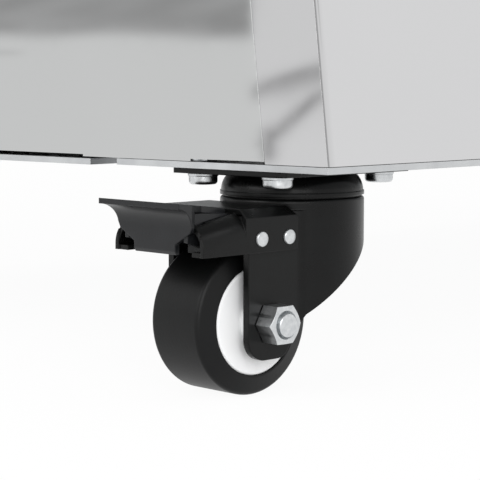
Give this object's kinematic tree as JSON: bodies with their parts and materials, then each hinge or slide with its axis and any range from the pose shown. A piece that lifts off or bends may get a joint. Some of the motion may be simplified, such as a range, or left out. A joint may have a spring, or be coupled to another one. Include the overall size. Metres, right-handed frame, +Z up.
{
  "type": "refrigerated buffet table",
  "caption": "Long refrigerated buffet table: sheet-metal pedestal on swivel casters, insulated tank with lift-out food pans, lamp and curved glass guard",
  "frame": {"origin": "middle of the footprint, on the floor under the tyres", "axes": "+X along the table to its right-hand end, +Y to the rear long side, +Z up; the pictured corner is at -X, -Y"},
  "size_m": [1.44, 0.7, 1.35],
  "materials": {
    "caster_paint": "satin",
    "pedal_paint": "satin",
    "zinc_steel": "satin",
    "hub_nylon": "satin",
    "tyre_rubber": "matte",
    "shoe_rubber": "matte",
    "base_steel": "satin",
    "panel_steel": "satin",
    "tank_steel": "satin",
    "liner_steel": "satin",
    "pan_steel": "satin",
    "foam": "matte",
    "tube_copper": "satin",
    "guard_glass": "gloss",
    "lamp_aluminium": "satin",
    "lamp_lens": "satin",
    "compressor_paint": "satin",
    "condenser_fins": "satin",
    "fan_plastic": "matte",
    "control_plastic": "matte",
    "switch_green": "gloss",
    "knob_black": "matte",
    "valve_brass": "satin",
    "lever_red": "gloss"
  },
  "bodies": {
    "table": {"caster_fl_plate": "caster_paint", "caster_fr_plate": "caster_paint", "caster_rl_plate": "caster_paint", "caster_rr_plate": "caster_paint", "swivel_balls": "zinc_steel", "caster_bolts": "zinc_steel", "base_rails": "base_steel", "base_tray": "base_steel", "front_panel": "panel_steel", "rear_panel": "panel_steel", "end_panels": "panel_steel", "tank_housing": "tank_steel", "top_frame": "tank_steel", "top_ends": "tank_steel", "crossbars": "tank_steel", "guard_posts": "tank_steel", "tank_liner": "liner_steel", "insulation": "foam", "refrigerant_tube": "tube_copper", "guard_glass": "guard_glass", "lamp_housing": "lamp_aluminium", "lamp_lens": "lamp_lens", "compressor": "compressor_paint", "condenser": "condenser_fins", "fan_shroud": "fan_plastic", "control_panel": "control_plastic", "cable_gland": "control_plastic", "drain_valve": "valve_brass"},
    "swivel_fl": {"caster_fl_yoke": "caster_paint", "caster_fl_axle": "zinc_steel", "caster_fl_brake_housing": "caster_paint", "caster_fl_rivets": "zinc_steel"},
    "wheel_fl": {"caster_fl_hub": "hub_nylon", "caster_fl_tyre": "tyre_rubber"},
    "pedal_fl": {"caster_fl_pedal": "pedal_paint", "caster_fl_shoe": "shoe_rubber"},
    "swivel_fr": {"caster_fr_yoke": "caster_paint", "caster_fr_axle": "zinc_steel", "caster_fr_brake_housing": "caster_paint", "caster_fr_rivets": "zinc_steel"},
    "wheel_fr": {"caster_fr_hub": "hub_nylon", "caster_fr_tyre": "tyre_rubber"},
    "pedal_fr": {"caster_fr_pedal": "pedal_paint", "caster_fr_shoe": "shoe_rubber"},
    "swivel_rl": {"caster_rl_yoke": "caster_paint", "caster_rl_axle": "zinc_steel"},
    "wheel_rl": {"caster_rl_hub": "hub_nylon", "caster_rl_tyre": "tyre_rubber"},
    "swivel_rr": {"caster_rr_yoke": "caster_paint", "caster_rr_axle": "zinc_steel"},
    "wheel_rr": {"caster_rr_hub": "hub_nylon", "caster_rr_tyre": "tyre_rubber"},
    "pan_1": {"food_pan_1": "pan_steel"},
    "pan_2": {"food_pan_2": "pan_steel"},
    "pan_3": {"food_pan_3": "pan_steel"},
    "pan_4": {"food_pan_4": "pan_steel"},
    "fan": {"fan_rotor": "fan_plastic"},
    "switch": {"power_switch": "switch_green"},
    "knob": {"thermostat_knob": "knob_black"},
    "lever": {"drain_lever": "lever_red"}
  },
  "joints": [
    {"name": "swivel_fl", "type": "hinge", "parent": "table", "child": "swivel_fl", "pos_m": [-0.5895, -0.2417, 0.0998], "axis": [0, 0, 1], "continuous": true},
    {"name": "wheel_fl", "type": "hinge", "parent": "swivel_fl", "child": "wheel_fl", "pos_m": [-0.63536, -0.23978, 0.0385], "axis": [0.0419, 0.9991, 0], "continuous": true},
    {"name": "pedal_fl", "type": "hinge", "parent": "swivel_fl", "child": "pedal_fl", "pos_m": [-0.64475, -0.23938, 0.0816], "axis": [-0.0419, -0.9991, 0], "range_deg": [0, 10]},
    {"name": "swivel_fr", "type": "hinge", "parent": "table", "child": "swivel_fr", "pos_m": [0.5895, -0.2417, 0.0998], "axis": [0, 0, 1], "continuous": true},
    {"name": "wheel_fr", "type": "hinge", "parent": "swivel_fr", "child": "wheel_fr", "pos_m": [0.6354, -0.2417, 0.0385], "axis": [0, 1, 0], "continuous": true},
    {"name": "pedal_fr", "type": "hinge", "parent": "swivel_fr", "child": "pedal_fr", "pos_m": [0.6448, -0.2417, 0.0816], "axis": [0, 1, 0], "range_deg": [0, 10]},
    {"name": "swivel_rl", "type": "hinge", "parent": "table", "child": "swivel_rl", "pos_m": [-0.5895, 0.2417, 0.0998], "axis": [0, 0, 1], "continuous": true},
    {"name": "wheel_rl", "type": "hinge", "parent": "swivel_rl", "child": "wheel_rl", "pos_m": [-0.6354, 0.2417, 0.0385], "axis": [0, 1, 0], "continuous": true},
    {"name": "swivel_rr", "type": "hinge", "parent": "table", "child": "swivel_rr", "pos_m": [0.5895, 0.2417, 0.0998], "axis": [0, 0, 1], "continuous": true},
    {"name": "wheel_rr", "type": "hinge", "parent": "swivel_rr", "child": "wheel_rr", "pos_m": [0.6354, 0.2417, 0.0385], "axis": [0, 1, 0], "continuous": true},
    {"name": "lift_pan_1", "type": "slide", "parent": "table", "child": "pan_1", "axis": [0, 0, 1], "range_m": [0, 0.2]},
    {"name": "lift_pan_2", "type": "slide", "parent": "table", "child": "pan_2", "axis": [0, 0, 1], "range_m": [0, 0.2]},
    {"name": "lift_pan_3", "type": "slide", "parent": "table", "child": "pan_3", "axis": [0, 0, 1], "range_m": [0, 0.2]},
    {"name": "lift_pan_4", "type": "slide", "parent": "table", "child": "pan_4", "axis": [0, 0, 1], "range_m": [0, 0.2]},
    {"name": "fan_spin", "type": "hinge", "parent": "table", "child": "fan", "pos_m": [-0.02, 0.05, 0.2481], "axis": [0, 1, 0], "continuous": true},
    {"name": "switch_rock", "type": "hinge", "parent": "table", "child": "switch", "pos_m": [0.48, 0.322, 0.794], "axis": [1, 0, 0], "range_deg": [0, 16]},
    {"name": "knob_turn", "type": "hinge", "parent": "table", "child": "knob", "pos_m": [0.38, 0.333, 0.794], "axis": [0, -1, 0], "range_deg": [0, 270]},
    {"name": "lever_turn", "type": "hinge", "parent": "table", "child": "lever", "pos_m": [0.666, 0, 0.6263], "axis": [0, 0, 1], "range_deg": [-90, 0]}
  ]
}
